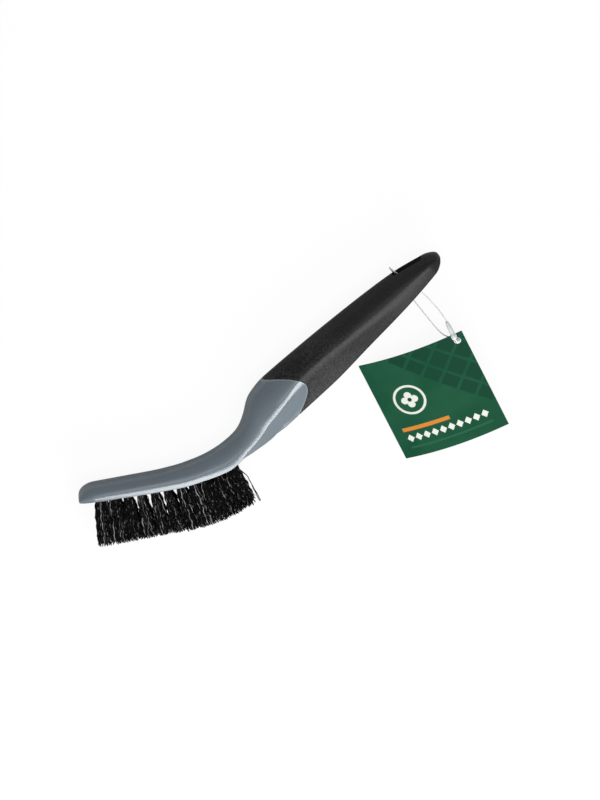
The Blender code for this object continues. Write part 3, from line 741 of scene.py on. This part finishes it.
def makeTufts():
    tree = bristleTree()
    sockets = {item.name: item.identifier for item in tree.interface.items_tree
               if item.in_out == "INPUT"}
    last = field["columns"] - 1
    for number, column, side, length, place in tuftPlaces():
        source = bpy.data.objects.new("tuftSource", bpy.data.meshes.new("tuftSource"))
        bpy.context.scene.collection.objects.link(source)
        modifier = source.modifiers.new("tuft", "NODES")
        modifier.node_group = tree
        # the end tufts lean, and those near the nose leave gaps at the face
        lean = {0: bristles["firstLean"], last: bristles["lastLean"]}.get(column, 0.0)
        stray = bristles["stray"] if column == last and side > 0 else 0.0
        opening = bristles["slowOpenings"].get(column, bristles["opening"])
        for name, value in (
                ("Strands", bristles["strands"]), ("Length", length),
                ("Root Radius", bristles["rootRadius"]), ("Tip Along", bristles["tipAlong"]),
                ("Tip Across", bristles["tipAcross"]), ("Crimp", bristles["crimp"]),
                ("Wave", bristles["wave"]), ("Trim", bristles["trim"]),
                ("Buried", bristles["buried"]), ("Strand Radius", bristles["radius"]),
                ("Lean", lean), ("Opening", opening), ("Stray", stray),
                ("Seed", bristles["firstSeed"] + number),
                ("Finish", bristleNylon)):
            modifier[sockets[name]] = value
        tuft = plainMesh(f"bristles{number:02d}", source, place, sharpAngle=0)
        drop(source)
        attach(tuft, "brush")
        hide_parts(f"tuft_{number:02d}")


makeTufts()
print("bristles done")


# anchors in the holes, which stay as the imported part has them

anchorPaint = {
    "bright": (0.62, 0.60, 0.55, 1.0), "dull": (0.48, 0.46, 0.42, 1.0), "drawnSize": 0.0007,
    "roughness": 0.3, "roughnessRange": 0.2,
}


def paintAnchors(wire):
    drawn = wire.noise(objectPlace(wire), anchorPaint["drawnSize"], 3.0)
    return {
        "Base Color": drawn.blend(anchorPaint["bright"], anchorPaint["dull"]),
        "Roughness": anchorPaint["roughness"] + drawn * anchorPaint["roughnessRange"],
    }


anchorWire = shaded("anchorWire", {"Metallic": 1.0}, paintAnchors)
for name, node in frame["nodes"].items():
    if name.startswith("anchor_"):
        dress(node, anchorWire)


# nylon loop with its lock

nylonPaint = {
    "strand": ((0.98, 0.99, 0.99, 1.0), (0.90, 0.92, 0.92, 1.0)),
    # the lock is the strand's nylon painted darker, to make up for the lamps lighting it more
    # brightly: painted shade
    "lock": ((0.70, 0.73, 0.73, 1.0), (0.56, 0.60, 0.60, 1.0)),
    "cloudSize": 0.003, "roughness": 0.3, "roughnessRange": 0.2,
}


def paintNylon(wire, tones):
    cloud = wire.noise(objectPlace(wire), nylonPaint["cloudSize"], 2.0)
    return {
        "Base Color": cloud.blend(*tones),
        "Roughness": nylonPaint["roughness"] + cloud * nylonPaint["roughnessRange"],
    }


def paintStrand(wire):
    return paintNylon(wire, nylonPaint["strand"])


def paintLock(wire):
    return paintNylon(wire, nylonPaint["lock"])


loopNylon = shaded("loopNylon", {"IOR": 1.53}, paintStrand)
lockNylon = shaded("lockNylon", {"IOR": 1.53}, paintLock)

loop = {
    "diameter": 0.0006, "step": 0.0012,
    # along from the slot's front end, up in crest heights and sideways in half widths there
    "route": (
        (-0.00032, -4.111, 0.629), (-0.00057, -4.239, 0.596), (-0.00067, -4.328, 0.483),
        (-0.00072, -4.322, 0.315), (-0.00107, -4.261, 0.135), (-0.00197, -4.150, -0.034),
        (-0.00377, -3.950, -0.202), (-0.00517, -3.683, -0.382), (-0.00567, -3.239, -0.584),
        (-0.00552, -2.705, -0.787), (-0.00512, -2.039, -0.966), (-0.00442, -1.239, -1.090),
        (-0.00332, -0.461, -1.135), (-0.00222, 0.206, -1.129), (-0.00132, 0.717, -1.045),
        (-0.00052, 1.050, -0.831), (0.00028, 1.172, -0.562), (0.00088, 1.128, -0.360),
        (0.00138, 0.917, -0.236), (0.00198, 0.428, -0.202), (0.00268, -0.294, -0.197),
        (0.00328, -0.928, -0.191), (0.00378, -1.539, -0.067), (0.00398, -2.172, 0.202),
        (0.00388, -2.617, 0.449), (0.00358, -2.850, 0.562), (0.00333, -2.955, 0.607),
    ),
    # the lock's length and radius from its narrow end
    "lock": (
        (0.0000, 0.00050), (0.0006, 0.00085), (0.0032, 0.00115), (0.0064, 0.00115),
        (0.0076, 0.00155), (0.0086, 0.00160), (0.0094, 0.00130), (0.0098, 0.00070),
    ),
    "lockSides": 28, "lockSteps": 4,
    # the point of the route in the tag's hole, and the lock's bead there
    "inTag": 3, "bead": 0.0014, "beadRings": 16,
}


def loopRoute():
    front = slotMiddle - form["slotLength"] / 2
    halfWidth, crest = smoothRow(form["rows"], front)[:2]
    plane = sectionPlane(front)
    return [plane @ Vector((along, crest * up, halfWidth * side))
            for along, up, side in loop["route"]]


def evenly(route, step, parts=24):
    # points a step apart on a smooth curve through the route, and its length
    ends = [2 * route[0] - route[1]] + route + [2 * route[-1] - route[-2]]
    fine = []
    for a, b, c, d in zip(ends, ends[1:], ends[2:], ends[3:]):
        for i in range(parts):
            t = i / parts
            fine.append(0.5 * (2 * b + (c - a) * t + (2 * a - 5 * b + 4 * c - d) * t * t
                               + (3 * b - a - 3 * c + d) * t ** 3))
    fine.append(route[-1])
    lengths = [0.0]
    for a, b in zip(fine, fine[1:]):
        lengths.append(lengths[-1] + (b - a).length)
    count = round(lengths[-1] / step)
    points = []
    i = 0
    for number in range(count + 1):
        wanted = lengths[-1] * number / count
        while i < len(fine) - 2 and lengths[i + 1] < wanted:
            i += 1
        share = (wanted - lengths[i]) / (lengths[i + 1] - lengths[i])
        points.append(fine[i].lerp(fine[i + 1], share))
    return points, lengths[-1]


def makeLock(route):
    wideEnd, narrowEnd = route[0], route[-1]
    axis = (wideEnd - narrowEnd).normalized()
    room = (wideEnd - narrowEnd).length - 2 * gap
    profile = loop["lock"]
    stretch = room / profile[-1][0]
    shape = bmesh.new()
    rings = []
    for (a, aRadius), (b, bRadius) in zip(profile, profile[1:]):
        for i in range(loop["lockSteps"]):
            t = i / loop["lockSteps"]
            ease = t * t * (3 - 2 * t)
            rings.append(((a + (b - a) * t) * stretch, aRadius + (bRadius - aRadius) * ease))
    rings.append((profile[-1][0] * stretch, profile[-1][1]))
    sides = loop["lockSides"]
    skin(shape, [circle(radius, sides, along) for along, radius in rings])
    turn = axis.to_track_quat("Z", "Y").to_matrix().to_4x4()
    place = Matrix.Translation(narrowEnd + axis * gap) @ turn
    middle = place.inverted() @ route[loop["inTag"]]
    bead = loop["bead"]
    angles = [math.pi * (i + 0.5) / loop["beadRings"] for i in range(loop["beadRings"])]
    skin(shape, [[point + middle for point in circle(
        bead * math.sin(angle), sides, -bead * math.cos(angle))] for angle in angles])
    source = meshOf("lockForm", shape)
    lock = plainMesh("snapLock", source, place)
    drop(source)
    dress(lock, lockNylon)
    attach(lock, "loop")
    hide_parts("loop_lock")
    return lock


def makeLoop(route):
    points, length = evenly(route, loop["step"])
    data = bpy.data.curves.new("nylonLoop", "CURVE")
    data.dimensions = "3D"
    data.bevel_depth = loop["diameter"] / 2
    data.bevel_resolution = 4
    data.use_fill_caps = True
    spline = data.splines.new("POLY")
    spline.points.add(len(points) - 1)
    for knot, point in zip(spline.points, points):
        knot.co = (*point, 1.0)
    data.materials.append(loopNylon)
    cord = bpy.data.objects.new("nylonLoop", data)
    bpy.context.scene.collection.objects.link(cord)
    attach(cord, "loop")
    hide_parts("tag_loop")
    return cord, points, length


# card tag

tag = {
    "side": 0.057, "thickness": 0.0006, "holeRadius": 0.0018, "holeInset": 0.004, "bow": 0.0038,
    "bowSteps": 48, "holeSides": 40, "drillReach": 0.003,
    "tilt": (math.radians(3.0), math.radians(-10.3), math.radians(-19.8)),
}
# places and sizes in parts of the card's side, from its lower left corner
tagPrint = {
    "green": (0.0070, 0.068, 0.032, 1.0), "deep": (0.0065, 0.054, 0.028, 1.0),
    "cream": (0.72, 0.74, 0.68, 1.0), "orange": (0.62, 0.22, 0.035, 1.0),
    "lighter": (0.020, 0.105, 0.056, 1.0),
    "latticeCount": 4.2, "latticeFrom": 1.25, "latticeLine": 0.08,
    "flower": (0.30, 0.56), "ring": (0.128, 0.150), "petalPlace": 0.046, "petal": 0.034,
    "heart": 0.020, "bar": ((0.10, 0.56), (0.262, 0.300)),
    "rowAcross": (0.10, 0.90), "rowUp": 0.188, "rowHalfHeight": 0.046, "rowCount": 12.5,
    "line": (0.085, 0.105), "rim": 0.4965,
    "hazeSize": 0.02, "fibreSize": 0.0006, "fibreDepth": 0.00002, "fibreStrength": 0.35,
    "roughness": 0.44, "roughnessRange": 0.12,
}


def paintTag(wire):
    # print drawn in the card's own map, 0 to 1 across and up
    spot = wire.node("ShaderNodeUVMap", {"uv_map": "card"})
    split = wire.node("ShaderNodeSeparateXYZ", None, {"Vector": spot})
    u, v = split.also("X"), split.also("Y")
    fibres = wire.noise(objectPlace(wire), tagPrint["fibreSize"], 3.0)
    haze = wire.noise(objectPlace(wire), tagPrint["hazeSize"], 2.0)
    cream, deep, lighter = tagPrint["cream"], tagPrint["deep"], tagPrint["lighter"]

    def band(value, low, high, edge=0.003):
        return value.above(low, edge) * (1 - value.above(high, edge))

    def disc(x, y, radius, edge=0.004):
        away = ((u - x) * (u - x) + (v - y) * (v - y)).maths("SQRT")
        return 1 - away.above(radius, edge)

    ground = (haze.above(0.5, 0.2) * 0.5).blend(tagPrint["green"], lighter)
    # diamonds in a darker green over the upper right
    low, high = tagPrint["latticeLine"], 1 - tagPrint["latticeLine"]
    rising, falling = [(slant * tagPrint["latticeCount"]).maths("FRACT") for slant in (u + v, u - v)]
    diamonds = band(rising, low, high, 0.02) * band(falling, low, high, 0.02)
    ground = ground.under(diamonds * (u + v).above(tagPrint["latticeFrom"], 0.01), deep)
    # a pale ring round a flower of four petals
    x, y = tagPrint["flower"]
    inner, outer = tagPrint["ring"]
    ground = ground.under(disc(x, y, outer) - disc(x, y, inner), cream)
    for across, up in ((0, 1), (1, 0), (0, -1), (-1, 0)):
        petal = disc(x + across * tagPrint["petalPlace"], y + up * tagPrint["petalPlace"],
                     tagPrint["petal"])
        ground = ground.under(petal, cream)
    ground = ground.under(disc(x, y, tagPrint["heart"]), deep)
    # a bar, and a row of lozenges over a thin line
    across, up = tagPrint["bar"]
    ground = ground.under(band(u, *across) * band(v, *up), tagPrint["orange"])
    row = band(u, *tagPrint["rowAcross"])
    step = (u * tagPrint["rowCount"] - 0.25).maths("FRACT")
    lozenge = ((step - 0.5).maths("ABSOLUTE") / 0.5
               + (v - tagPrint["rowUp"]).maths("ABSOLUTE") / tagPrint["rowHalfHeight"])
    ground = ground.under(row * (1 - lozenge.above(0.86, 0.06)), cream)
    ground = ground.under(row * band(v, *tagPrint["line"]), lighter)
    edge = (u - 0.5).maths("ABSOLUTE").maths("MAXIMUM", (v - 0.5).maths("ABSOLUTE"))
    ground = ground.under(edge.above(tagPrint["rim"], 0.002) * 0.5, lighter)
    return {
        "Base Color": ground,
        "Roughness": tagPrint["roughness"] + fibres * tagPrint["roughnessRange"],
        "Normal": fibres.bump(tagPrint["fibreStrength"], tagPrint["fibreDepth"]),
    }


tagCard = shaded("tagCard", {"IOR": 1.48, "Specular IOR Level": 0.05}, paintTag)


def makeTag(route):
    half = tag["side"] / 2
    hole = half - tag["holeInset"]
    bend = tag["bow"] / half ** 2
    shape = bmesh.new()
    steps = tag["bowSteps"]
    outline = []
    # over the front from side to side, then back under it
    for level, order in ((1, range(steps + 1)), (-1, range(steps, -1, -1))):
        for i in order:
            x = -half + tag["side"] * i / steps
            middle = Vector((x - hole, 0.0, bend * (hole * hole - x * x)))
            out = Vector((2 * bend * x, 0.0, 1.0)).normalized() * tag["thickness"] / 2
            outline.append(middle + level * out)
    skin(shape, [[point + Vector((0.0, y - hole, 0.0)) for point in outline]
                 for y in (-half, half)])
    card = meshOf("cardForm", shape)
    drill = bmesh.new()
    skin(drill, [circle(tag["holeRadius"], tag["holeSides"], height)
                 for height in (-tag["drillReach"], tag["drillReach"])])
    cutter = meshOf("tagDrill", drill)
    cut(card, "DIFFERENCE", cutter)
    place = Matrix.Translation(route[loop["inTag"]])
    for axis, angle in zip("ZYX", reversed(tag["tilt"])):
        place = place @ Matrix.Rotation(angle, 4, axis)
    made = plainMesh("tagCardPiece", card, Matrix.Identity(4))
    drop(card, cutter)
    layer = made.data.uv_layers.new(name="card")
    for corner in made.data.loops:
        point = made.data.vertices[corner.vertex_index].co
        layer.data[corner.index].uv = ((point.x + hole + half) / tag["side"],
                                       (point.y + hole + half) / tag["side"])
    made.data.transform(place)
    dress(made, tagCard)
    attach(made, "tag")
    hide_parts("hang_tag")


route = loopRoute()
lock = makeLock(route)
cord, cordPoints, cordLength = makeLoop(route)
makeTag(route)
print(f"loop, lock and tag done; the loop is {1000 * cordLength:.1f} mm long")


# floor, light and camera

studio = {
    # the glow is the share of the floor that the camera sees as plain white
    "sky": 0.37, "floorWhite": 0.65, "floorGlow": 0.86, "glowStrength": 1.075,
    "floorReach": 3.0, "floorDrop": 0.0002,
    # direction in the picture (right, up, towards the camera), distance, size and power
    "lamps": (
        ("keyLamp", (0.34, -0.94, 0.08), 0.8, (0.70, 0.28), 6.2),
        ("fillLamp", (0.22, -0.36, 0.90), 1.3, (1.20, 1.20), 9.0),
    ),
}
# pixels of the picture: its size, the brush's nose in it, and metres to a pixel
camera = {
    "turn": math.radians(44.4), "tilt": math.radians(23), "lens": 300.0, "sensor": 36.0,
    "picture": (600, 800), "origin": (80.0, 504.7), "scale": 0.0005, "shift": (0.00241, 0.00463),
}


def cameraFrame():
    turn, tilt = camera["turn"], camera["tilt"]
    right = Vector((math.cos(turn), -math.sin(turn), 0.0))
    up = Vector((math.sin(turn) * math.cos(tilt), math.cos(turn) * math.cos(tilt),
                 -math.sin(tilt)))
    back = Vector((math.sin(turn) * math.sin(tilt), math.cos(turn) * math.sin(tilt),
                   math.cos(tilt)))
    return right, up, back


def pictureCentre():
    # the point of the brush's middle plane at the middle of the picture
    wide, high = camera["picture"]
    x = camera["scale"] * (wide / 2 - camera["origin"][0])
    y = -camera["scale"] * (high / 2 - camera["origin"][1]) / math.cos(camera["tilt"])
    turn = camera["turn"]
    drawn = Vector((x * math.cos(turn) + y * math.sin(turn) - camera["shift"][0],
                    -x * math.sin(turn) + y * math.cos(turn) - camera["shift"][1], 0.0))
    return toFrame @ drawn


def makeCamera():
    right, up, back = cameraFrame()
    data = bpy.data.cameras.new("photoCamera")
    data.lens = camera["lens"]
    data.sensor_width = camera["sensor"]
    data.sensor_fit = "AUTO"
    distance = camera["picture"][1] * camera["scale"] * camera["lens"] / camera["sensor"]
    data.clip_start, data.clip_end = 0.05, 20.0
    made = bpy.data.objects.new("photoCamera", data)
    bpy.context.scene.collection.objects.link(made)
    turned = Matrix((right, up, back)).transposed().to_4x4()
    made.matrix_world = Matrix.Translation(pictureCentre() + back * distance) @ turned
    bpy.context.scene.camera = made


def inView(wire):
    return wire.node("ShaderNodeLightPath", output="Is Camera Ray")


def makeFloor():
    shape = bmesh.new()
    bmesh.ops.create_grid(shape, x_segments=1, y_segments=1, size=studio["floorReach"])
    floor = meshOf("paleFloor", shape)
    floor.location = (0.0, 0.0, -studio["floorDrop"])
    material = bpy.data.materials.new("paleFloor")
    material.use_nodes = True
    tree = material.node_tree
    tree.nodes.clear()
    wire = Wire(tree)
    bare = wire.node("ShaderNodeBsdfDiffuse", None, {
        "Color": (studio["floorWhite"],) * 3 + (1.0,), "Roughness": 1.0})
    glow = wire.node("ShaderNodeEmission", None, {
        "Color": (1.0, 1.0, 1.0, 1.0), "Strength": studio["glowStrength"]})
    mixed = wire.node("ShaderNodeMixShader", None, {
        0: inView(wire) * studio["floorGlow"], 1: bare, 2: glow})
    end = tree.nodes.new("ShaderNodeOutputMaterial")
    tree.links.new(mixed.socket, end.inputs["Surface"])
    floor.data.materials.append(material)


def makeSky():
    world = bpy.data.worlds.new("studioSky")
    bpy.context.scene.world = world
    world.use_nodes = True
    tree = world.node_tree
    tree.nodes.clear()
    wire = Wire(tree)
    strength = studio["sky"] + inView(wire) * (1.0 - studio["sky"])
    sky = wire.node("ShaderNodeBackground", None, {
        "Color": (1.0, 1.0, 1.0, 1.0), "Strength": strength})
    end = tree.nodes.new("ShaderNodeOutputWorld")
    tree.links.new(sky.socket, end.inputs["Surface"])


def makeLamps():
    right, up, back = cameraFrame()
    middle = pictureCentre()
    for name, (sideways, upwards, forwards), distance, (width, height), power in studio["lamps"]:
        data = bpy.data.lights.new(name, "AREA")
        data.shape = "RECTANGLE"
        data.size, data.size_y = width, height
        data.energy = power
        made = bpy.data.objects.new(name, data)
        bpy.context.scene.collection.objects.link(made)
        away = (right * sideways + up * upwards + back * forwards).normalized()
        made.location = middle + away * distance
        made.rotation_euler = away.to_track_quat("Z", "Y").to_euler()


makeFloor()
makeSky()
makeLamps()
makeCamera()
bpy.context.scene.view_settings.view_transform = "Standard"
print("floor, light and camera done")
